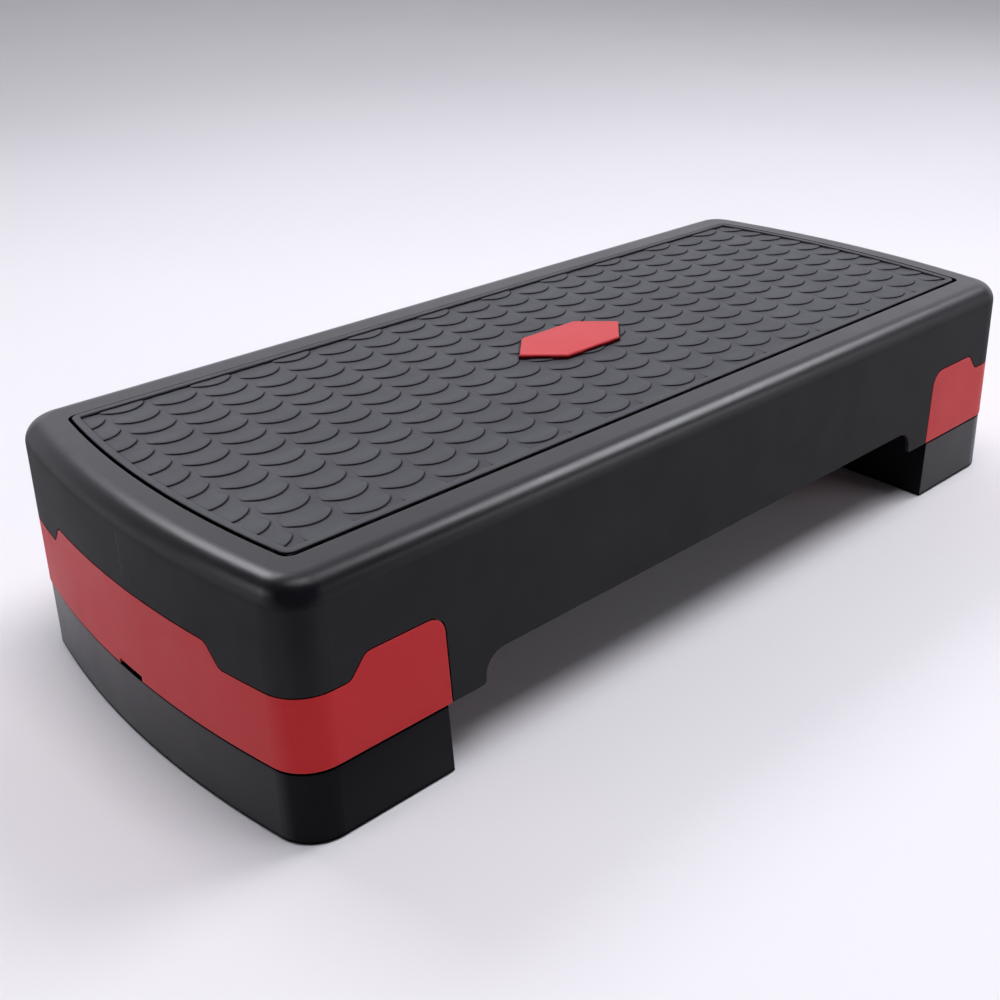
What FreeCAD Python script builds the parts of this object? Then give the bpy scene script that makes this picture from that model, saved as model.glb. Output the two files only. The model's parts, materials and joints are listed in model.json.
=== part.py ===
import FreeCAD, Part
import math
import os

Vector = FreeCAD.Vector

# Overall form in millimetres, taken at the floor; X runs along the step, Z is up
length = 674.0
width = 290.0
rim_height = 150.0          # floor to the deck's rim
end_bow = 15.0              # how far the middle of an end stands out past its corners
corner_radius = 25.0        # upright corners in plan
edge_radius = 13.5          # rounding of the deck's top edge
inner_chamfer_share = 0.6   # slope inside that edge, as a share of its radius

# Stacking of deck, upper risers and lower risers
lower_height = 45.0         # floor to the underside of an upper riser
upper_height = 43.2         # from there to the upper riser's low edge at the corners
riser_run = 107.5           # length of a riser, measured in from the end of the step
reveal = 0.8                # open line between neighbours that show side by side
fit_gap = 0.3               # clearance round pegs, pins, lugs and pads
wall = 2.6                  # moulded walls and skins
rib = 2.2                   # moulded stiffening ribs
overrun = 5.0               # how far a cut reaches past what it cuts

# Risers
riser_floor = 2.8           # bottom plate of a riser tray
riser_rib_height = 8.0      # ribs above that plate
inner_lean_share = 0.056    # lean of a riser's inner face per unit of height
lower_step = 0.6            # how far a lower riser's outer walls stand back from the upper one's
lower_inner_step = 2.5      # the same at the top of its leaning inner face
tab_rise = 12.4             # tabs above the upper riser's low edge
tab_slope_run = 10.0
tab_rounding = 6.0
side_tab_run = 51.5         # level stretch of a side tab, from the riser's inner face
side_tab_corner = 11.0      # rounding of the side tab's inner top corner
end_tab_width = 162.0       # level stretch of the end tab
notch_width = 25.0          # pry notch under the end tab
notch_height = 3.2
notch_depth = 9.0

# Stacking posts, two on each riser, made of crossed webs
post_size = 30.0            # tip to tip
post_web = 3.0
peg_size = 22.0             # narrower top of a lower riser's post, tip to tip
peg_height = 12.0
post_side_inset = 65.0      # post centre from the long side
lower_post_inset = 30.0     # a lower riser's posts, from the riser's inner face
upper_post_inset = 75.0     # an upper riser's posts, from the same face

# Rubber pads under the risers
pad_length = 28.0
pad_width = 16.0
pad_thickness = 2.2
pad_proud = 1.0
pad_inner_inset = 24.0      # pad centre from the riser's inner face
pad_end_inset = 36.0        # pad centre from the end of the step
pad_side_inset = 26.0       # pad centre from the long side

# Deck
arch_rise = 18.2            # open arch above the deck's feet
foot_run = 24.0             # length of a deck foot beside a riser
arch_radius = 13.0
foot_radius = 3.0
deck_rib_depth = 9.0
deck_rib_pitch = 57.0       # between cross ribs
deck_rib_spacing = 75.0     # between lengthwise ribs

# Mat in the deck's recess
mat_end_margin = 24.0       # end of the step to the end of the recess
mat_side_margin = 27.5
mat_bow = 10.0
mat_corner = 7.0
mat_depth = 3.0
mat_gap = 1.5               # open groove round the mat
mat_border = 4.5
scale_height = 1.2          # front edge of a scale above the field
scale_width = 28.5
scale_depth = 9.0
scale_column_pitch = 30.1
scale_row_pitch = 19.8
scale_start = -6.3          # front edge of the scale at the middle of the step
scale_facets = 5            # flats along a scale's round front
lug_length = 14.0           # rubber lugs that hold the mat in slots of the deck
lug_width = 3.0
lug_drop = 3.0              # how far they reach out below the deck's skin

# Badge on the mat
badge_length = 94.0
badge_width = 45.0
badge_flat = 49.0           # level stretch of its long edges
badge_thickness = 3.0
badge_chamfer = 0.8
pin_size = 3.2
pin_spacing = 45.0          # between pins along the step
pin_row_spacing = 24.0

# Levels and places that follow from the sizes above
lower_rim = lower_height - reveal
low_edge = lower_height + upper_height
tab_top = low_edge + tab_rise
arch_top = lower_height + arch_rise
recess_floor = rim_height - mat_depth
deck_underside = recess_floor - wall
field_level = rim_height - scale_height
rib_bottom = deck_underside - deck_rib_depth
riser_inner = length / 2 - riser_run
arch_half = riser_inner - foot_run
lower_post_x = riser_inner + lower_post_inset
upper_post_x = riser_inner + upper_post_inset
post_y = width / 2 - post_side_inset
hole_size = peg_size + 2 * fit_gap
socket_size = post_size + 2 * fit_gap
outside = length / 2 + overrun
beside = width / 2 + overrun
mat_length = length - 2 * mat_end_margin
mat_width = width - 2 * mat_side_margin


def line(start, end):
    return Part.LineSegment(start, end).toShape()


def arc(centre, radius, start, end):
    """Arc in plan between two angles."""
    middle = (start + end) / 2
    points = [centre + Vector(radius * math.cos(a), radius * math.sin(a), 0) for a in (start, middle, end)]
    return Part.Arc(*points).toShape()


def outline(inset, level, long_size, wide_size, bow, radius):
    """Closed plan outline: straight long sides, bowed ends and rounded corners, drawn in by an inset."""
    half_width = wide_size / 2 - inset
    bow_radius = ((wide_size / 2) ** 2 + bow ** 2) / (2 * bow) - inset
    corner = radius - inset
    bow_x = long_size / 2 - inset - bow_radius
    corner_y = half_width - corner
    corner_x = bow_x + math.sqrt((bow_radius - corner) ** 2 - corner_y ** 2)
    meeting = math.atan2(corner_y, corner_x - bow_x)
    edges = []
    for turn in (0, math.pi):
        sign = math.cos(turn)
        bow_centre = Vector(sign * bow_x, 0, level)
        low_corner = Vector(sign * corner_x, -sign * corner_y, level)
        high_corner = Vector(sign * corner_x, sign * corner_y, level)
        side = Vector(sign * corner_x, sign * half_width, level)
        edges.append(arc(low_corner, corner, turn - math.pi / 2, turn - meeting))
        edges.append(arc(bow_centre, bow_radius, turn - meeting, turn + meeting))
        edges.append(arc(high_corner, corner, turn + meeting, turn + math.pi / 2))
        edges.append(line(side, Vector(-sign * corner_x, sign * half_width, level)))
    return Part.Wire(edges)


def step_outline(inset, level):
    return outline(inset, level, length, width, end_bow, corner_radius)


def mat_outline(inset, level):
    return outline(inset, level, mat_length, mat_width, mat_bow, mat_corner)


def step_block(inset, bottom, top):
    """Block inside the step's outer walls, drawn in by an inset."""
    return Part.Face(step_outline(inset, bottom)).extrude(Vector(0, 0, top - bottom))


def mat_block(inset, bottom, top):
    return Part.Face(mat_outline(inset, bottom)).extrude(Vector(0, 0, top - bottom))


def top_edges(body):
    return max(body.Faces, key=lambda face: face.CenterOfMass.z).Edges


def deck_block():
    """The deck's outer form with its rounded top edge."""
    body = step_block(0, lower_height, rim_height)
    return body.makeFillet(edge_radius, top_edges(body))


def deck_core(inset):
    """Inside of the deck, drawn in by an inset and sloped off under the rounded edge."""
    body = step_block(inset, lower_height, rim_height - inset)
    return body.makeChamfer(edge_radius * inner_chamfer_share, top_edges(body))


def rounded_face(corners, place):
    """Face of a closed outline through (u, v, radius) corners; place puts u and v in space."""
    ends = []
    count = len(corners)
    for index, (u, v, radius) in enumerate(corners):
        here = Vector(u, v, 0)
        back = Vector(*corners[index - 1][:2], 0) - here
        ahead = Vector(*corners[(index + 1) % count][:2], 0) - here
        back.normalize()
        ahead.normalize()
        half = back.getAngle(ahead) / 2
        reach = radius / math.tan(half)
        bisector = back + ahead
        near = here
        if radius > 0:
            bisector.normalize()
            near = here + bisector * (radius / math.sin(half) - radius)
        ends.append((here + back * reach, near, here + ahead * reach))
    edges = []
    for index, (start, middle, end) in enumerate(ends):
        start, middle, end = (place(point.x, point.y) for point in (start, middle, end))
        if corners[index][2] > 0:
            edges.append(Part.Arc(start, middle, end).toShape())
        following = ends[(index + 1) % count][0]
        edges.append(line(end, place(following.x, following.y)))
    return Part.Face(Part.Wire(edges))


def side_prism(corners, gap=0.0):
    """Prism right across the step from (x, z, radius) corners, grown by a gap."""
    face = rounded_face(corners, lambda x, z: Vector(x, -beside, z))
    if gap > 0:
        face = face.makeOffset2D(gap)
    return face.extrude(Vector(0, 2 * beside, 0))


def box(low, high):
    size = high - low
    return Part.makeBox(size.x, size.y, size.z, low)


def bar(x, y, long_size, wide_size, bottom, top):
    """Upright rectangular bar about x, y."""
    half = Vector(long_size / 2, wide_size / 2, 0)
    return box(Vector(x, y, bottom) - half, Vector(x, y, top) + half)


def square_block(x, y, size, bottom, top):
    return bar(x, y, size, size, bottom, top)


def mirrored(shape):
    return shape.mirror(Vector(0, 0, 0), Vector(1, 0, 0))


def inner_face_x(level, start, lean):
    return start + lean * (level - lower_height)


def riser_room(inset, bottom, top, start, lean):
    """Everything outboard of a riser's leaning inner face."""
    low_x = inner_face_x(bottom, start, lean) + inset
    high_x = inner_face_x(top, start, lean) + inset
    return side_prism([(low_x, bottom, 0), (outside, bottom, 0), (outside, top, 0), (high_x, top, 0)])


def tab_room(gap):
    """Room of the right upper riser below its tabbed top edge, grown by a gap."""
    base = lower_height - overrun
    side_end = riser_inner + side_tab_run
    low_x = inner_face_x(base, riser_inner, inner_lean_share)
    high_x = inner_face_x(tab_top, riser_inner, inner_lean_share)
    side = side_prism([
        (low_x, base, 0),
        (outside, base, 0),
        (outside, low_edge, 0),
        (side_end + tab_slope_run, low_edge, tab_rounding),
        (side_end, tab_top, tab_rounding),
        (high_x, tab_top, side_tab_corner),
    ], gap)
    half_tab = end_tab_width / 2
    foot = half_tab + tab_slope_run
    end_start = length / 2 - end_bow - corner_radius
    end_face = rounded_face([
        (-beside, base, 0),
        (beside, base, 0),
        (beside, low_edge, 0),
        (foot, low_edge, tab_rounding),
        (half_tab, tab_top, tab_rounding),
        (-half_tab, tab_top, tab_rounding),
        (-foot, low_edge, tab_rounding),
        (-beside, low_edge, 0),
    ], lambda y, z: Vector(end_start, y, z))
    if gap > 0:
        end_face = end_face.makeOffset2D(gap)
    return side.fuse(end_face.extrude(Vector(outside - end_start, 0, 0)))


def cross_post(x, y, size, bottom, top):
    """Upright post of two crossed webs."""
    return bar(x, y, size, post_web, bottom, top).fuse(bar(x, y, post_web, size, bottom, top))


def pad_places():
    """Centres of the four pads of a right riser, by name."""
    columns = {"inner": riser_inner + pad_inner_inset, "outer": length / 2 - pad_end_inset}
    rows = {"front": -(width / 2 - pad_side_inset), "back": width / 2 - pad_side_inset}
    return {column + "_" + row: (x, y) for column, x in columns.items() for row, y in rows.items()}


def pad_block(x, y, bottom, top, gap):
    """Rubber pad, grown by a gap."""
    return bar(x, y, pad_length + 2 * gap, pad_width + 2 * gap, bottom, top)


def finish_riser(tray, core, base, posts):
    """Adds ribs and stacking posts to a riser tray, and cuts its pad pockets."""
    rib_base = base + riser_floor / 2
    rib_top = base + riser_floor + riser_rib_height
    rib_x = riser_inner + riser_run / 2
    lengthwise = box(Vector(riser_inner, -rib / 2, rib_base), Vector(outside, rib / 2, rib_top))
    crosswise = box(Vector(rib_x - rib / 2, -beside, rib_base), Vector(rib_x + rib / 2, beside, rib_top))
    tray = tray.fuse([lengthwise.fuse(crosswise).common(core)] + posts)
    ceiling = base + pad_thickness - pad_proud
    pockets = [pad_block(x, y, base - overrun, ceiling, fit_gap) for x, y in pad_places().values()]
    return tray.cut(pockets).removeSplitter()


def make_upper_riser():
    """Red riser of the right end: an open tray with tabs that rise into cut-outs of the deck."""
    floor_top = lower_height + riser_floor
    collar_top = floor_top + riser_rib_height
    block = step_block(0, lower_height, tab_top).common(tab_room(0))
    hollow = step_block(wall, floor_top, tab_top + overrun)
    hollow = hollow.common(riser_room(wall, floor_top, tab_top + overrun, riser_inner, inner_lean_share))
    core = step_block(wall / 2, lower_height, low_edge)
    core = core.common(riser_room(wall / 2, lower_height, low_edge, riser_inner, inner_lean_share))
    posts = []
    for y in (-post_y, post_y):
        posts.append(cross_post(upper_post_x, y, post_size, lower_height, deck_underside))
        posts.append(square_block(lower_post_x, y, hole_size + 2 * wall, lower_height, collar_top))
    riser = finish_riser(block.cut(hollow), core, lower_height, posts)
    notch = box(Vector(length / 2 - notch_depth, -notch_width / 2, lower_height - overrun),
                Vector(outside, notch_width / 2, lower_height + notch_height))
    holes = [square_block(lower_post_x, y, hole_size, lower_height - overrun, collar_top + overrun)
             for y in (-post_y, post_y)]
    return riser.cut([notch] + holes)


def make_lower_riser():
    """Black riser of the right end: a tray that stands back a little from the riser above it."""
    floor_top = pad_proud + riser_floor
    lean = lower_inner_step / lower_height
    start = riser_inner + lower_inner_step

    def tray_body(inset, bottom):
        body = step_block(lower_step + inset, bottom, lower_rim)
        return body.common(riser_room(inset, bottom, lower_rim, start, lean))

    tray = tray_body(0, pad_proud).cut(tray_body(wall, floor_top))
    posts = []
    for y in (-post_y, post_y):
        posts.append(cross_post(lower_post_x, y, post_size, pad_proud, lower_height))
        posts.append(cross_post(lower_post_x, y, peg_size, lower_height, lower_height + peg_height))
    return finish_riser(tray, tray_body(wall / 2, pad_proud), pad_proud, posts)


def deck_rib_places():
    """Places of the deck's cross ribs above its arch."""
    count = int(arch_half // deck_rib_pitch)
    return [index * deck_rib_pitch for index in range(-count, count + 1)]


def lug_places():
    """Mat lugs in every second cell between the deck's ribs."""
    cells = deck_rib_places()[:-1]
    columns = [x + deck_rib_pitch / 2 for x in cells[::2]]
    return [(x, y) for x in columns for y in (-deck_rib_spacing / 2, deck_rib_spacing / 2)]


def lug_block(x, y, bottom, top, gap):
    return bar(x, y, lug_length + 2 * gap, lug_width + 2 * gap, bottom, top)


def pin_blocks(bottom, top, gap):
    """The badge's four pins, grown by a gap."""
    columns = (-pin_spacing / 2, pin_spacing / 2)
    rows = (-pin_row_spacing / 2, pin_row_spacing / 2)
    return [square_block(x, y, pin_size + 2 * gap, bottom, top) for x in columns for y in rows]


def make_deck():
    """Deck shell: rounded top, recess for the mat, arched skirt, ribs and shallow sockets for the posts."""
    skin = mat_block(-wall, deck_underside, rim_height)
    shell = deck_block().cut(deck_core(wall).cut(skin))
    room = tab_room(reveal)
    shell = shell.cut(room).cut(mirrored(room))
    arch_foot = arch_half + 2 * foot_radius
    below = lower_height - overrun
    arch = side_prism([
        (-arch_foot, below, 0), (arch_foot, below, 0), (arch_foot, lower_height, 0),
        (arch_half, lower_height, foot_radius), (arch_half, arch_top, arch_radius),
        (-arch_half, arch_top, arch_radius), (-arch_half, lower_height, foot_radius),
        (-arch_foot, lower_height, 0),
    ])
    shell = shell.cut(arch)
    core = deck_core(wall / 2)
    rib_top = recess_floor - wall / 2
    ribs = [box(Vector(-outside, y - rib / 2, rib_bottom), Vector(outside, y + rib / 2, rib_top))
            for y in (-deck_rib_spacing, 0, deck_rib_spacing)]
    for x in deck_rib_places():
        ribs.append(box(Vector(x - rib / 2, -beside, rib_bottom), Vector(x + rib / 2, beside, rib_top)))
    ribs = [piece.common(core) for piece in ribs]
    posts = [(x, y) for x in (-upper_post_x, upper_post_x) for y in (-post_y, post_y)]
    sockets = [square_block(x, y, socket_size + 2 * wall, rib_bottom, rib_top) for x, y in posts]
    shell = shell.fuse(ribs + sockets)
    holes = [square_block(x, y, socket_size, below, deck_underside) for x, y in posts]
    holes += [lug_block(x, y, below, rim_height, fit_gap) for x, y in lug_places()]
    holes += pin_blocks(below, rim_height, fit_gap)
    shell = shell.cut(holes)
    shell = shell.cut(mat_block(0, recess_floor, rim_height + overrun))
    return shell.removeSplitter()


def badge_outline(gap, level):
    """Long hexagon with its points along the step."""
    point = badge_length / 2 + gap
    flat = badge_flat / 2 + gap / 2
    side = badge_width / 2 + gap
    points = [(-point, 0), (-flat, -side), (flat, -side), (point, 0), (flat, side), (-flat, side)]
    points = [Vector(x, y, level) for x, y in points]
    return Part.Face(Part.makePolygon(points + points[:1]))


def make_scale():
    """One scale of the mat: a round-fronted wedge, highest at the middle of its front edge."""
    radius = ((scale_width / 2) ** 2 + scale_depth ** 2) / (2 * scale_depth)
    spread = math.asin(scale_width / 2 / radius)
    sunk = field_level - recess_floor
    turns = [spread * (2 * index / scale_facets - 1) for index in range(scale_facets + 1)]
    chord = radius * math.cos(spread)
    front = [Vector(radius * math.sin(turn), chord - radius * math.cos(turn), -sunk) for turn in turns]
    block = Part.Face(Part.makePolygon(front + front[:1])).extrude(Vector(0, 0, sunk + scale_height))
    profile = [(0, -sunk), (-scale_depth, -sunk), (-scale_depth, scale_height), (0, 0)]
    points = [Vector(-scale_width / 2, y, z) for y, z in profile]
    wedge = Part.Face(Part.makePolygon(points + points[:1])).extrude(Vector(scale_width, 0, 0))
    return block.common(wedge)


def make_scales():
    """All scales of the field, alternate columns half a row apart, clipped at the border and the badge."""
    scale = make_scale()
    field = mat_block(mat_gap + mat_border, recess_floor, rim_height)
    field = field.cut(badge_outline(fit_gap, recess_floor).extrude(Vector(0, 0, mat_depth)))
    columns = math.ceil(mat_length / 2 / scale_column_pitch)
    rows = math.ceil(mat_width / 2 / scale_row_pitch) + 1
    pieces = []
    for column in range(-columns, columns + 1):
        shift = scale_start + scale_depth - column % 2 * scale_row_pitch / 2
        for row in range(-rows, rows + 1):
            place = Vector(column * scale_column_pitch, shift + row * scale_row_pitch, field_level)
            pieces += scale.translated(place).common(field).Solids
    return pieces


def make_mat():
    """Rubber mat: a border round a field of scales, held in the deck by lugs through its skin."""
    mat = mat_block(mat_gap, recess_floor, rim_height)
    mat = mat.cut(mat_block(mat_gap + mat_border, field_level, rim_height + overrun))
    lug_end = deck_underside - lug_drop
    lugs = [lug_block(x, y, lug_end, field_level, 0) for x, y in lug_places()]
    mat = mat.fuse(make_scales() + lugs)
    return mat.cut(pin_blocks(lower_height, rim_height, fit_gap)).removeSplitter()


def make_badge():
    """Plain raised badge with four pins through the mat and the deck."""
    plate = badge_outline(0, field_level).extrude(Vector(0, 0, badge_thickness))
    plate = plate.makeChamfer(badge_chamfer, top_edges(plate))
    return plate.fuse(pin_blocks(deck_underside, field_level, 0)).removeSplitter()


def main():
    os.makedirs("parts", exist_ok=True)
    pieces = {"deck_shell": make_deck(), "top_mat": make_mat(), "center_badge": make_badge()}
    pieces["upper_riser_right"] = make_upper_riser()
    pieces["lower_riser_right"] = make_lower_riser()
    for level, base in (("upper", lower_height), ("lower", pad_proud)):
        for name, (x, y) in pad_places().items():
            pad = pad_block(x, y, base - pad_proud, base - pad_proud + pad_thickness, 0)
            pieces[level + "_pad_right_" + name] = pad
    for name in [name for name in pieces if "_right" in name]:
        pieces[name.replace("_right", "_left")] = mirrored(pieces[name])
    for name, piece in pieces.items():
        piece.exportStep("parts/" + name + ".step")
        print(name, len(piece.Solids), piece.isValid(), round(piece.Volume))


main()
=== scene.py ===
"""Looks of an aerobic step platform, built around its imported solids."""

import json
import math

import bmesh
import bpy
from mathutils import Matrix, Vector


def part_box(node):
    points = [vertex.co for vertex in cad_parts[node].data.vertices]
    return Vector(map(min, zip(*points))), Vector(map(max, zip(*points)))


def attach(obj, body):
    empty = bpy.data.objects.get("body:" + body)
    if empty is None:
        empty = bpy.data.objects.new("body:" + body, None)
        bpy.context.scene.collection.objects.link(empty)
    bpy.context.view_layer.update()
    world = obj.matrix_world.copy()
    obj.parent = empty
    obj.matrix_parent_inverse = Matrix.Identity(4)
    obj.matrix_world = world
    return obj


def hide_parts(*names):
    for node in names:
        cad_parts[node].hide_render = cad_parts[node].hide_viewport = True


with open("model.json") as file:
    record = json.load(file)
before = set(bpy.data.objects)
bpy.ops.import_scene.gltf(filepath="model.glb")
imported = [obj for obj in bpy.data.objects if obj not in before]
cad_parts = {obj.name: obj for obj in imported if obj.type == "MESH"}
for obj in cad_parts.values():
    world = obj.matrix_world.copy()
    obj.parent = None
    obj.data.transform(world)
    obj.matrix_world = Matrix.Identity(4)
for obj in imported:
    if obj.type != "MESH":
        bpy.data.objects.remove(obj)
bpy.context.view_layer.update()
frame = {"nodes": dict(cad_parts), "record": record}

MM = 0.001

# Mat, in millimetres; it lies a little towards the back right of its recess
MAT_LENGTH = 626.0
MAT_WIDTH = 235.0
MAT_BOW = 10.0
MAT_CORNER = 8.2
MAT_GAP = 1.9
MAT_PLAY = (0.8, 1.8)
MAT_BORDER = 4.5
RECESS_FLOOR = 147.0
FIELD_LEVEL = 148.5
RIM_LEVEL = 150.0
CORNER_STEPS = 8
BOW_STEPS = 28

# Mat's section: inset from the edge or the border's foot, then depth below the rim or, in the trench, the field
EDGE_UNDERCUT = 1.6
EDGE_SECTION = ((0.1, 0.6), (0.0, 0.4), (0.04, 0.22), (0.15, 0.08), (0.4, 0.0))
BORDER_SECTION = ((-0.3, 0.0), (-0.08, 0.09), (0.0, 0.3))
TRENCH_SECTION = ((0.06, 0.5), (0.9, 0.5), (1.0, 0.1), (1.2, 0.0))

# Lugs that hold the mat in the deck's slots
LUG_COLUMNS = (-142.5, -28.5, 85.5)
LUG_ROWS = (-37.5, 37.5)
LUG_HALF_LENGTH = 7.0
LUG_HALF_WIDTH = 1.5
LUG_LEVELS = (141.4, 147.4)

# Scales of the mat, in staggered columns
SCALE_HALF_WIDTH = 14.2
SCALE_RADIUS = 16.4
SCALE_RUN = 19.2
SCALE_TIP_RUN = 1.0
SCALE_HEIGHT = 0.85
SCALE_TIP_LOSS_SHARE = 0.6
SCALE_RUN_POWERS = (4, 0.7)
SCALE_HEIGHT_POWER = 8
SCALE_STRIPS = 22
SCALE_ROOT = 0.6
SCALE_TAIL_DROP = 0.02
COLUMN_PITCH = 30.1
ROW_PITCH = 19.8
FIRST_FRONT = -6.3
LEAST_SHOWN = 1.0

# A scale's front in section: outset from its arch, level above the field, share of the scale's height
FRONT_SECTION = (
    (0.1, -SCALE_ROOT, 0.0),
    (0.05, 0.0, 0.0),
    (-0.02, 0.0, 0.75),
    (-0.1, 0.0, 0.93),
    (-0.35, 0.0, 1.0),
)
SCALE_TOP_SHARES = (0.25, 0.45, 0.65, 0.85)

# The mat's flat field and the ends of its scales stay flat, and its round faces are smooth
FLAT_FACE_SIDES = 10
SHARP_ANGLE = math.radians(40)

# Mould lines on the deck's end walls: height and share of the full section
LINE_LEVELS = ((106.0, 0.05), (108.5, 1.0), (133.0, 1.0), (136.5, 0.05))
LINE_PLACE = -8.0
LINE_HALF_WIDTH = 0.4
LINE_PROUD = 0.05
LINE_SUNK = 0.3
LINE_INSET = 0.055

# Surfaces, in metres; painted shade in creases has its reach, then the openness where that painted shade is
# full and the one where it is clear
TONE_SCALE = 11.0
WEAR_SCALE = 60.0
ROUGHNESS_SCALE = 35.0
EASED_RADIUS = 0.0009
GRAIN_DEPTH = 0.0004
PLASTIC_CREASE_SHADING = (0.003, 0.88, 0.995)
RUBBER_CREASE_SHADING = (0.0016, 0.72, 0.96)
# Painted shade in creases and at the seam line is this share of the dark tone
CREASE_SHADE = 0.15
# Painted shadow line at the top of a wall that another piece stands on, in metres: it starts this far below the
# top and is full from this far; a top of 1 m puts it above every piece
SEAM_SHADOW_BAND = (0.0014, 0.0010)
NO_SEAM_SHADOW = 1.0

# How upright walls turn matt: normal's height where the walls end and where the level faces begin
ROUGH_SLOPE = (0.1, 0.6)
GLOSS_SLOPE = (0.1, 0.5)
GLOSS_LOSS = 1.25

# Studio and camera
FLOOR_HALF = 8
FLOOR_DARK = (0.80, 0.78, 0.80)
FLOOR_LIGHT = (0.82, 0.80, 0.815)
LAMP_COLOUR = (0.94, 0.945, 1.0)
MIDDLE = (0, 0, 0.1)
WORLD_DIM = (0.05, 0.05, 0.055)
WORLD_BRIGHT = (0.92, 0.925, 1.0)
WORLD_DIRECTION = (0.66, 0.68, -0.2)
FOCAL_PIXELS = 1310.73
PICTURE_PIXELS = 1000.0
SENSOR_WIDTH = 36.0
CAMERA_PLACE = (-0.58441, -0.59825, 0.45953)
CAMERA_TURN = (-0.76483, 0.40036, -0.00845)
CAMERA_SHIFT = (-0.06, -0.10)


def new_object(name, mesh):
    piece = bpy.data.objects.new(name, mesh)
    bpy.context.scene.collection.objects.link(piece)
    return piece


def paint(piece, material):
    piece.data.materials.clear()
    piece.data.materials.append(material)


def add_rings(bm, rings):
    """Closed body through rings of equal length, capped at both ends."""
    loops = [[bm.verts.new((x * MM, y * MM, z * MM)) for x, y, z in ring] for ring in rings]
    count = len(loops[0])
    for low, high in zip(loops[:-1], loops[1:]):
        for index in range(count):
            after = (index + 1) % count
            bm.faces.new((low[index], low[after], high[after], high[index]))
    bm.faces.new(loops[0][::-1])
    bm.faces.new(loops[-1])


def bow_radius():
    """Radius of the mat's bowed ends."""
    return ((MAT_WIDTH / 2) ** 2 + MAT_BOW ** 2) / (2 * MAT_BOW)


def mat_outline(inset):
    """Points of the mat's plan outline, drawn in by an inset."""
    bow = bow_radius() - inset
    corner = MAT_CORNER - inset
    bow_x = MAT_LENGTH / 2 - inset - bow
    corner_y = MAT_WIDTH / 2 - inset - corner
    corner_x = bow_x + math.sqrt((bow - corner) ** 2 - corner_y ** 2)
    meeting = math.atan2(corner_y, corner_x - bow_x)
    points = []
    for turn in (0.0, math.pi):
        sign = math.cos(turn)
        arcs = (
            (sign * corner_x, -sign * corner_y, corner, -math.pi / 2, -meeting, CORNER_STEPS),
            (sign * bow_x, 0.0, bow, -meeting, meeting, BOW_STEPS),
            (sign * corner_x, sign * corner_y, corner, meeting, math.pi / 2, CORNER_STEPS),
        )
        for index, (x, y, radius, start, end, steps) in enumerate(arcs):
            for step in range(0 if index == 0 else 1, steps + 1):
                angle = turn + start + (end - start) * step / steps
                points.append((x + radius * math.cos(angle), y + radius * math.sin(angle)))
    return points


def mat_slab(bm):
    """Slab with an undercut edge, a raised border whose edges are eased, and a trench at the border's foot."""
    edge = MAT_GAP
    foot = MAT_GAP + MAT_BORDER
    profile = [(edge + EDGE_UNDERCUT, RECESS_FLOOR)]
    profile += [(edge + inset, RIM_LEVEL - depth) for inset, depth in EDGE_SECTION]
    profile += [(foot + inset, RIM_LEVEL - depth) for inset, depth in BORDER_SECTION]
    profile += [(foot + inset, FIELD_LEVEL - depth) for inset, depth in TRENCH_SECTION]
    play_x, play_y = MAT_PLAY
    add_rings(bm, [[(x + play_x, y + play_y, z) for x, y in mat_outline(inset)] for inset, z in profile])


def add_lugs(bm):
    """Lugs under the mat."""
    for x in LUG_COLUMNS:
        for y in LUG_ROWS:
            low_x, high_x = x - LUG_HALF_LENGTH, x + LUG_HALF_LENGTH
            low_y, high_y = y - LUG_HALF_WIDTH, y + LUG_HALF_WIDTH
            corners = [(low_x, low_y), (high_x, low_y), (high_x, high_y), (low_x, high_y)]
            add_rings(bm, [[(px, py, z) for px, py in corners] for z in LUG_LEVELS])


def end_limit(y, inset):
    """How far the mat's bowed end reaches along the step at a place across it."""
    return MAT_LENGTH / 2 - bow_radius() + math.sqrt((bow_radius() - inset) ** 2 - y ** 2)


def scale_body(x, front):
    """One scale: an arched front edge that fades towards its tips, with a top that runs down into the field."""
    bm = bmesh.new()
    inner_power, outer_power = SCALE_RUN_POWERS
    strips = []
    for strip in range(SCALE_STRIPS + 1):
        share = math.sin(math.pi / 2 * (2 * strip / SCALE_STRIPS - 1))
        across = SCALE_HALF_WIDTH * share
        near = SCALE_RADIUS - math.sqrt(SCALE_RADIUS ** 2 - across ** 2)
        run = SCALE_TIP_RUN + (SCALE_RUN - SCALE_TIP_RUN) * (1 - share ** inner_power) ** outer_power
        height = SCALE_HEIGHT * (1 - SCALE_TIP_LOSS_SHARE * share ** SCALE_HEIGHT_POWER)
        normal_x, normal_y = across / SCALE_RADIUS, near / SCALE_RADIUS - 1
        px, py = x + across, front + near
        ring = []
        for outset, level, part in FRONT_SECTION:
            z = FIELD_LEVEL + (level + part * height)
            ring.append((px + normal_x * outset, py + normal_y * outset, z))
        for t in SCALE_TOP_SHARES:
            ring.append((px, py + run * t, FIELD_LEVEL + height * (0.5 + 0.5 * math.cos(math.pi * t))))
        ring.append((px, py + run, FIELD_LEVEL - SCALE_TAIL_DROP))
        ring.append((px, py + run, FIELD_LEVEL - SCALE_ROOT))
        strips.append(ring)
    add_rings(bm, strips)
    return bm


def clip(bm, point, normal):
    """Cuts off what lies beyond a plane and closes the cut."""
    everything = bm.verts[:] + bm.edges[:] + bm.faces[:]
    cut = bmesh.ops.bisect_plane(bm, geom=everything, plane_co=point, plane_no=normal, clear_outer=True)
    edges = [part for part in cut["geom_cut"] if isinstance(part, bmesh.types.BMEdge)]
    if edges:
        bmesh.ops.holes_fill(bm, edges=[edge for edge in bm.edges if edge.is_boundary], sides=0)


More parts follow.
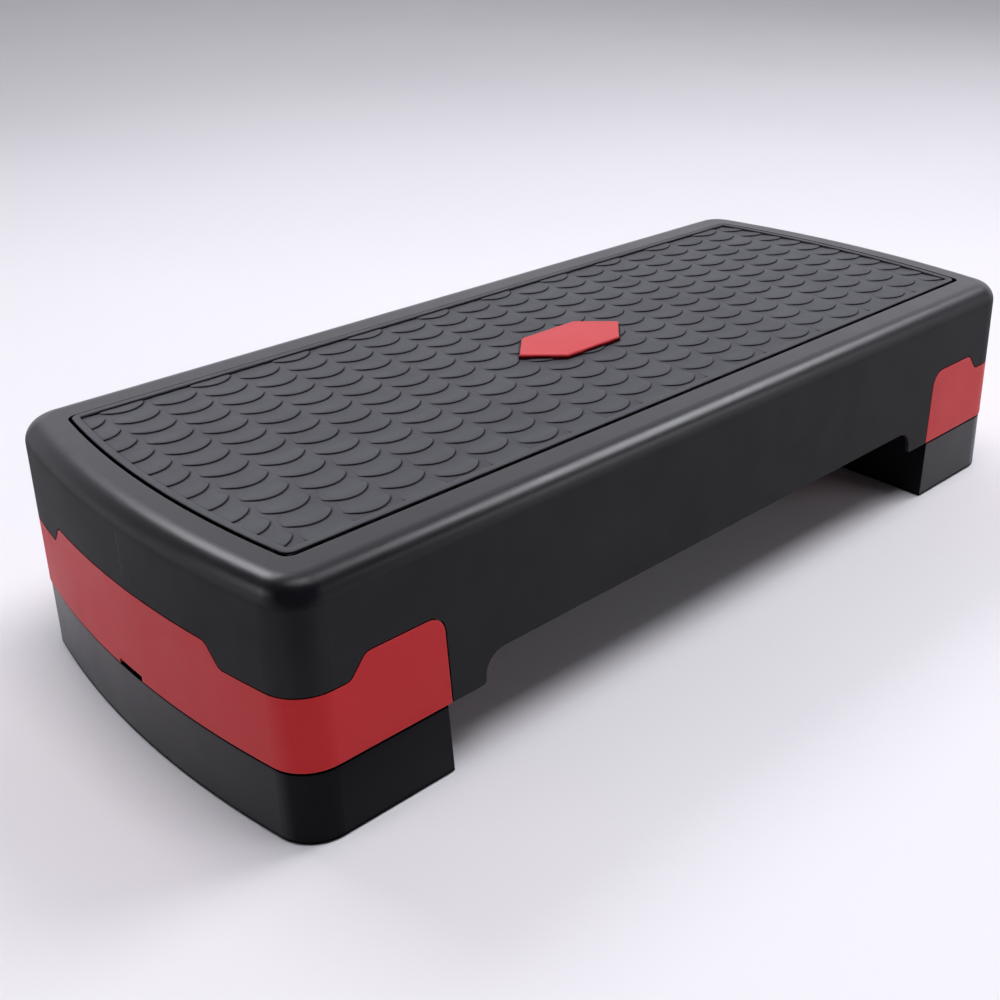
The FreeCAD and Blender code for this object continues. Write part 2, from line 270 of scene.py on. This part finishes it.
def under_badge(x, front):
    """True where a whole scale would lie under the badge."""
    low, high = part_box("center_badge")
    reach = abs(front + SCALE_RUN / 2) + SCALE_RUN / 2
    half_length = (high.x - low.x) / MM / 2
    half_width = (high.y - low.y) / MM / 2
    if reach > half_width:
        return False
    limit = half_length - (half_length / 2) * reach / half_width
    return abs(x) + SCALE_HALF_WIDTH < limit


def add_scale(whole, x, front):
    """Adds one scale, clipped at the mat's border, unless the border or the badge would hide it."""
    clip_inset = MAT_GAP + MAT_BORDER / 2
    side = MAT_WIDTH / 2 - clip_inset
    middle = front + SCALE_RUN / 2
    limit = end_limit(max(-side, min(side, middle)), clip_inset)
    past_side = front > side - LEAST_SHOWN or front + SCALE_RUN < LEAST_SHOWN - side
    if past_side or abs(x) - SCALE_HALF_WIDTH > limit - LEAST_SHOWN or under_badge(x, front):
        return
    scale = scale_body(x, front)
    if front < -side:
        clip(scale, (0, -side * MM, 0), (0, -1, 0))
    if front + SCALE_RUN > side:
        clip(scale, (0, side * MM, 0), (0, 1, 0))
    if abs(x) + SCALE_HALF_WIDTH > limit:
        sign = math.copysign(1.0, x)
        clip(scale, (sign * limit * MM, 0, 0), (sign, 0, 0))
    part = bpy.data.meshes.new("scale")
    scale.to_mesh(part)
    scale.free()
    whole.from_mesh(part)
    bpy.data.meshes.remove(part)


def make_mat(material):
    """Rubber mat with arched scales in staggered columns, replacing the faceted solid."""
    whole = bmesh.new()
    mat_slab(whole)
    columns = math.ceil(MAT_LENGTH / 2 / COLUMN_PITCH)
    rows = math.ceil(MAT_WIDTH / 2 / ROW_PITCH) + 1
    for column in range(-columns, columns + 1):
        for row in range(-rows, rows + 1):
            front = FIRST_FRONT + row * ROW_PITCH - column % 2 * ROW_PITCH / 2
            add_scale(whole, column * COLUMN_PITCH, front)
    add_lugs(whole)
    bmesh.ops.recalc_face_normals(whole, faces=whole.faces)
    for face in whole.faces:
        face.smooth = len(face.verts) < FLAT_FACE_SIDES
    mesh = bpy.data.meshes.new("tread_mat")
    whole.to_mesh(mesh)
    whole.free()
    mesh.set_sharp_from_angle(angle=SHARP_ANGLE)
    piece = new_object("tread_mat", mesh)
    paint(piece, material)
    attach(piece, "deck")
    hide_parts("top_mat")


def make_mould_line(sign, material):
    """Thin parting line down the deck's end wall, beside the middle."""
    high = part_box("deck_shell")[1]
    x = sign * (high.x / MM - LINE_INSET)
    inside = x - sign * LINE_SUNK
    rings = []
    for z, share in LINE_LEVELS:
        near, far = LINE_PLACE - LINE_HALF_WIDTH * share, LINE_PLACE + LINE_HALF_WIDTH * share
        crest = x + sign * LINE_PROUD * share
        rings.append([(inside, near, z), (x, near, z), (crest, LINE_PLACE, z), (x, far, z), (inside, far, z)])
    bm = bmesh.new()
    add_rings(bm, rings)
    bmesh.ops.recalc_face_normals(bm, faces=bm.faces)
    mesh = bpy.data.meshes.new("mould_line")
    bm.to_mesh(mesh)
    bm.free()
    piece = new_object("mould_line_right" if sign > 0 else "mould_line_left", mesh)
    paint(piece, material)
    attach(piece, "deck")


def add_node(tree, kind, **settings):
    node = tree.nodes.new(kind)
    for name, value in settings.items():
        setattr(node, name, value)
    return node


def own_place(tree):
    """The object's own coordinates."""
    place = tree.nodes.get("place") or add_node(tree, "ShaderNodeTexCoord", name="place")
    return place.outputs["Object"]


def noise(tree, scale, detail=3.0):
    """Noise in the object's own coordinates."""
    texture = add_node(tree, "ShaderNodeTexNoise")
    texture.inputs["Scale"].default_value = scale
    texture.inputs["Detail"].default_value = detail
    tree.links.new(own_place(tree), texture.inputs["Vector"])
    return texture.outputs["Fac"]


def ranged(tree, value, low, high, start=0.3, end=0.7):
    """A value spread from low to high."""
    spread = add_node(tree, "ShaderNodeMapRange")
    for name, number in (("From Min", start), ("From Max", end), ("To Min", low), ("To Max", high)):
        spread.inputs[name].default_value = number
    tree.links.new(value, spread.inputs["Value"])
    return spread.outputs["Result"]


def combined(tree, operation, first, second):
    """Product or sum of two values."""
    node = add_node(tree, "ShaderNodeMath", operation=operation)
    tree.links.new(first, node.inputs[0])
    tree.links.new(second, node.inputs[1])
    return node.outputs["Value"]


def height_of(tree, vector):
    """Upward part of a vector."""
    parts = add_node(tree, "ShaderNodeSeparateXYZ")
    tree.links.new(vector, parts.inputs["Vector"])
    return parts.outputs["Z"]


def blended(tree, factor, first, second):
    """Colour between two colours, each a tuple or a socket."""
    mix = add_node(tree, "ShaderNodeMix", data_type="RGBA")
    tree.links.new(factor, mix.inputs["Factor"])
    colours = [socket for socket in mix.inputs if socket.type == "RGBA"]
    for socket, colour in zip(colours, (first, second)):
        if isinstance(colour, tuple):
            socket.default_value = colour + (1.0,)
        else:
            tree.links.new(colour, socket)
    return [socket for socket in mix.outputs if socket.type == "RGBA"][0]


def painted_shade_factor(tree, crease_shading, joint):
    """Falls to 0 where shade is painted: in creases, and in a painted shadow line at the top of a wall that
    another piece stands on.
    """
    reach, dark, clear = crease_shading
    # Ambient occlusion finds the creases that get painted shade
    crease_occlusion = add_node(tree, "ShaderNodeAmbientOcclusion", samples=6)
    crease_occlusion.inputs["Distance"].default_value = reach
    # Painted shadow line just under the top of the wall, by the object's own height
    start, end = SEAM_SHADOW_BAND
    below_seam_shadow = ranged(tree, height_of(tree, own_place(tree)), 1.0, 0.0, joint - start, joint - end)
    return combined(tree, "MULTIPLY", ranged(tree, crease_occlusion.outputs["AO"], 0.0, 1.0, dark, clear), below_seam_shadow)


def edge_wear(tree, eased, normal):
    """Patchy wear where the eased normal leaves the face's own."""
    along = add_node(tree, "ShaderNodeVectorMath", operation="DOT_PRODUCT")
    tree.links.new(eased, along.inputs[0])
    tree.links.new(normal, along.inputs[1])
    edge = ranged(tree, along.outputs["Value"], 0.0, 0.5, 0.985, 0.86)
    return combined(tree, "MULTIPLY", edge, ranged(tree, noise(tree, WEAR_SCALE), 0.3, 1.0))


def grained(tree, grain, eased):
    """Normal with a fine moulded grain."""
    scale, strength = grain
    bump = add_node(tree, "ShaderNodeBump")
    bump.inputs["Strength"].default_value = strength
    bump.inputs["Distance"].default_value = GRAIN_DEPTH
    tree.links.new(noise(tree, scale, 2.0), bump.inputs["Height"])
    tree.links.new(eased, bump.inputs["Normal"])
    return bump.outputs["Normal"]


def moulded(name, tones, worn, roughness, grain, gloss, matt=0.0, crease_shading=PLASTIC_CREASE_SHADING, joint=NO_SEAM_SHADOW):
    """Moulded plastic or rubber: uneven tone, fine grain, worn edges, painted shade in creases, a painted
    shadow line at a seam and matt walls if wanted.
    """
    material = bpy.data.materials.new(name)
    material.use_nodes = True
    tree = material.node_tree
    shader = tree.nodes["Principled BSDF"]
    normal = add_node(tree, "ShaderNodeNewGeometry").outputs["Normal"]
    bevel = add_node(tree, "ShaderNodeBevel", samples=4)
    bevel.inputs["Radius"].default_value = EASED_RADIUS
    eased = bevel.outputs["Normal"]
    upward = height_of(tree, normal)
    unshaded_share = painted_shade_factor(tree, crease_shading, joint)

    dark, light = tones
    tone = blended(tree, ranged(tree, noise(tree, TONE_SCALE, 5.0), 0.0, 1.0), dark, light)
    surface = blended(tree, edge_wear(tree, eased, normal), tone, worn)
    # Base colour turns to painted shade in creases and at the seam line
    shade = tuple(CREASE_SHADE * channel for channel in dark)
    tree.links.new(blended(tree, unshaded_share, shade, surface), shader.inputs["Base Color"])

    slant = add_node(tree, "ShaderNodeLayerWeight")
    sheen = combined(tree, "MULTIPLY", ranged(tree, slant.outputs["Facing"], *gloss), unshaded_share)
    wall_gloss = ranged(tree, upward, 1 - GLOSS_LOSS * matt, 1.0, *GLOSS_SLOPE)
    tree.links.new(combined(tree, "MULTIPLY", sheen, wall_gloss), shader.inputs["Specular IOR Level"])

    uneven = ranged(tree, noise(tree, ROUGHNESS_SCALE, 4.0), *roughness)
    wall_matt = ranged(tree, upward, matt, 0.0, *ROUGH_SLOPE)
    tree.links.new(combined(tree, "ADD", uneven, wall_matt), shader.inputs["Roughness"])
    tree.links.new(grained(tree, grain, eased), shader.inputs["Normal"])
    return material


def wall_top(node):
    """Height of a left riser's outer wall at its end, without the posts inside."""
    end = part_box(node)[0].x + 2 * MM
    return max(vertex.co.z for vertex in frame["nodes"][node].data.vertices if vertex.co.x < end)


def dress():
    """Gives every solid its material and adds the pieces that only show here."""
    black_tones = ((0.006, 0.006, 0.008), (0.009, 0.009, 0.011))
    black_worn = (0.025, 0.025, 0.028)
    # The black plastic gets a painted shadow line under the top of the lower risers' walls, where the red
    # risers stand on them
    black = moulded(
        "black_polypropylene", black_tones, black_worn, roughness=(0.33, 0.39), grain=(1500.0, 0.12),
        gloss=(0.04, 0.40, 0.33, 0.68), joint=wall_top("lower_riser_left"))
    deck_black = moulded(
        "deck_polypropylene", black_tones, black_worn, roughness=(0.27, 0.33), grain=(1500.0, 0.09),
        gloss=(0.05, 0.50, 0.05, 0.22), matt=0.38)
    # A lighter black for the mould lines: a painted highlight that makes each ridge show as a light line
    light_line_black = moulded(
        "light_line_polypropylene", ((0.030, 0.030, 0.033), (0.036, 0.036, 0.040)), (0.05, 0.05, 0.05),
        roughness=(0.5, 0.6), grain=(1500.0, 0.09), gloss=(0.05, 0.3, 0.05, 0.25))
    red = moulded(
        "red_polypropylene", ((0.54, 0.034, 0.038), (0.60, 0.042, 0.047)), (0.75, 0.16, 0.15),
        roughness=(0.40, 0.48), grain=(1500.0, 0.10), gloss=(0.02, 0.36, 0.25, 0.60), matt=0.12)
    # The mat's rubber gets stronger painted shade in its creases, which darkens the scales' arches
    rubber = moulded(
        "mat_rubber", ((0.045, 0.044, 0.052), (0.056, 0.055, 0.064)), (0.065, 0.065, 0.07),
        roughness=(0.50, 0.60), grain=(2300.0, 0.20), gloss=(0.3, 0.35, 0.05, 0.25), crease_shading=RUBBER_CREASE_SHADING)
    pad_rubber = moulded(
        "pad_rubber", ((0.012, 0.012, 0.012), (0.020, 0.020, 0.020)), (0.04, 0.04, 0.04),
        roughness=(0.62, 0.76), grain=(1800.0, 0.25), gloss=(0.2, 0.35, 0.05, 0.25))
    finish_of = {"black_plastic": black, "red_plastic": red, "mat_rubber": rubber, "pad_rubber": pad_rubber}
    for entry in frame["record"]["subparts"]:
        paint(frame["nodes"][entry["node"]], finish_of[entry["material_slot"]])
    paint(frame["nodes"]["deck_shell"], deck_black)
    make_mat(rubber)
    make_mould_line(-1, light_line_black)
    make_mould_line(1, light_line_black)


def make_floor():
    """Plain pale floor."""
    mesh = bpy.data.meshes.new("floor")
    bm = bmesh.new()
    corners = ((-1, -1), (1, -1), (1, 1), (-1, 1))
    bm.faces.new([bm.verts.new((x * FLOOR_HALF, y * FLOOR_HALF, 0)) for x, y in corners])
    bm.to_mesh(mesh)
    bm.free()
    floor = new_object("floor", mesh)
    material = bpy.data.materials.new("pale_floor")
    material.use_nodes = True
    tree = material.node_tree
    shader = tree.nodes["Principled BSDF"]
    shader.inputs["Specular IOR Level"].default_value = 0.15
    tone = blended(tree, ranged(tree, noise(tree, 2.0, 2.0), 0.0, 1.0), FLOOR_DARK, FLOOR_LIGHT)
    tree.links.new(tone, shader.inputs["Base Color"])
    tree.links.new(ranged(tree, noise(tree, 5.0), 0.6, 0.7), shader.inputs["Roughness"])
    paint(floor, material)


def make_light(name, place, target, size, power, spread=180.0):
    """Soft rectangular lamp, aimed at a target."""
    data = bpy.data.lights.new(name, "AREA")
    data.shape = "RECTANGLE"
    data.size, data.size_y = size
    data.energy = power
    data.color = LAMP_COLOUR
    data.spread = math.radians(spread)
    lamp = bpy.data.objects.new(name, data)
    lamp.location = place
    lamp.rotation_mode = "QUATERNION"
    lamp.rotation_quaternion = (Vector(target) - Vector(place)).to_track_quat("-Z", "Y")
    bpy.context.scene.collection.objects.link(lamp)


def make_lights():
    """Large lamp overhead, narrower ones at the right and the back for the edges, and fills for the walls."""
    make_light("overhead", (-0.1, -0.9, 4.2), (-0.1, -0.3, 0), size=(2.2, 2.2), power=91.0)
    make_light("right_softbox", (2.6, -0.6, 3.1), MIDDLE, size=(1.6, 1.6), power=20.0, spread=100.0)
    make_light("back_softbox", (-0.2, 2.4, 2.75), MIDDLE, size=(1.6, 1.0), power=4.6, spread=60.0)
    make_light("left_fill", (-2.4, 0.7, 1.0), MIDDLE, size=(1.5, 1.0), power=3.2, spread=100.0)
    make_light("front_fill", (1.6, -2.2, 1.1), MIDDLE, size=(1.5, 1.0), power=10.0)
    make_light("backdrop_light", (2.0, 3.4, 3.2), (2.0, 3.4, 0), size=(3.0, 3.0), power=6.0, spread=120.0)


def make_world():
    """Studio that is dim on the viewer's side and bright towards the back and the right."""
    world = bpy.data.worlds.new("studio")
    world.use_nodes = True
    tree = world.node_tree
    sky = tree.nodes["Background"]
    place = add_node(tree, "ShaderNodeTexCoord")
    across = add_node(tree, "ShaderNodeVectorMath", operation="DOT_PRODUCT")
    across.inputs[1].default_value = WORLD_DIRECTION
    tree.links.new(place.outputs["Generated"], across.inputs[0])
    factor = ranged(tree, across.outputs["Value"], 0.0, 1.0, -0.1, 0.75)
    tree.links.new(blended(tree, factor, WORLD_DIM, WORLD_BRIGHT), sky.inputs["Color"])
    bpy.context.scene.world = world
    bpy.context.scene.view_settings.view_transform = "Standard"


def make_camera():
    """Camera fitted to the outlines of the object; the picture is an off-centre crop of its view."""
    azimuth, elevation, roll = CAMERA_TURN
    level = math.cos(elevation)
    back = Vector((math.sin(azimuth) * level, -math.cos(azimuth) * level, math.sin(elevation)))
    right = Vector((0, 0, 1)).cross(back).normalized()
    up = back.cross(right)
    turned_right = right * math.cos(roll) + up * math.sin(roll)
    turned_up = up * math.cos(roll) - right * math.sin(roll)
    data = bpy.data.cameras.new("camera")
    data.sensor_width = SENSOR_WIDTH
    data.lens = FOCAL_PIXELS * SENSOR_WIDTH / PICTURE_PIXELS
    data.shift_x, data.shift_y = CAMERA_SHIFT
    data.clip_start = 0.01
    camera = bpy.data.objects.new("camera", data)
    axes = Matrix((turned_right, turned_up, back)).transposed().to_4x4()
    camera.matrix_world = Matrix.Translation(Vector(CAMERA_PLACE)) @ axes
    bpy.context.scene.collection.objects.link(camera)
    bpy.context.scene.camera = camera


dress()
make_floor()
make_lights()
make_world()
make_camera()
